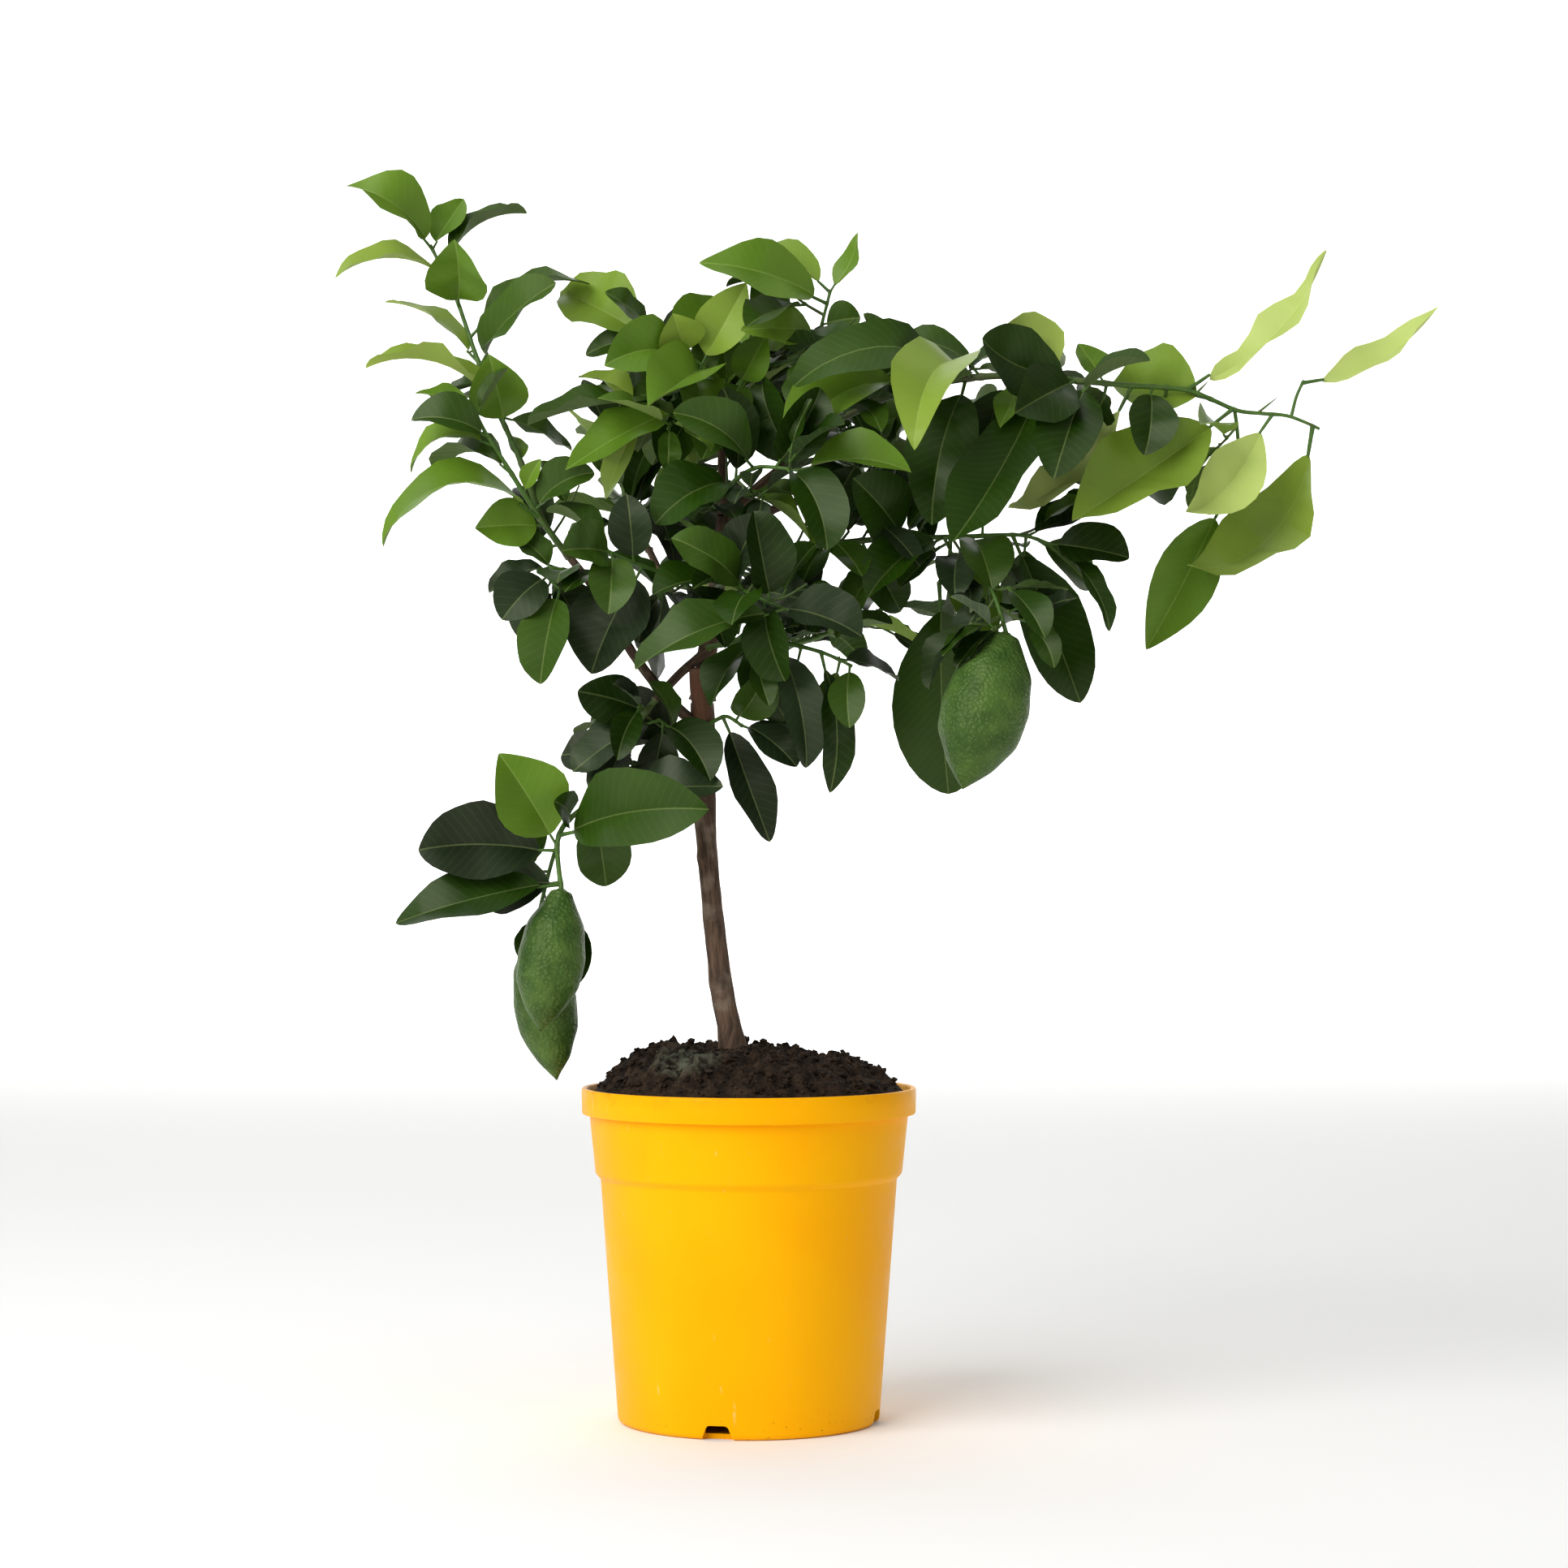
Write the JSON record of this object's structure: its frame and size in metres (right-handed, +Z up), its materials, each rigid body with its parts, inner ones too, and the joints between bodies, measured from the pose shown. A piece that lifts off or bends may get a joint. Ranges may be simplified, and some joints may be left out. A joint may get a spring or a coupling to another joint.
{
  "type": "potted lemon tree",
  "caption": "Young lemon tree with a slim leaning trunk, spreading leafy boughs and green lemons, growing in a round moulded pot filled with soil.",
  "frame": {"origin": "centre of the flat underside of the pot, on the surface it stands on", "axes": "+Z up, +X to the right and +Y away from the viewer as the tree is seen from its front"},
  "size_m": [0.662, 0.2962, 0.7426],
  "materials": {
    "pot_plastic": "injection-moulded polypropylene, satin, with faint scuffs and soil marks",
    "soil": "moist crumbly potting mix, matt, with lighter fibres and grains",
    "bark": "young grey-brown citrus bark with fine lengthwise cracks, matt",
    "foliage": "leathery citrus leaves, semi-gloss above and paler and matt below, on green twigs"
  },
  "bodies": {
    "root": {"pot": "pot_plastic", "soil": "soil", "trunk": "bark", "leader": "bark", "bough_left": "bark", "bough_left_low": "bark", "bough_right_long": "bark", "bough_right_low": "bark", "bough_centre": "bark", "bough_back_left": "bark", "bough_back_right": "bark", "bough_back_low": "bark", "left_tall_spray": "foliage", "left_short_spray": "foliage", "left_hanging_spray": "foliage", "low_left_spray": "foliage", "trunk_shoot_left": "foliage", "trunk_shoot_right": "foliage", "low_centre_spray": "foliage", "front_spray": "foliage", "upper_front_spray": "foliage", "inner_left_spray": "foliage", "centre_left_spray": "foliage", "centre_right_spray": "foliage", "right_long_spray": "foliage", "right_low_spray": "foliage", "back_left_spray": "foliage", "back_right_spray": "foliage", "back_low_spray": "foliage", "back_top_spray": "foliage", "back_middle_spray": "foliage"}
  },
  "joints": []
}
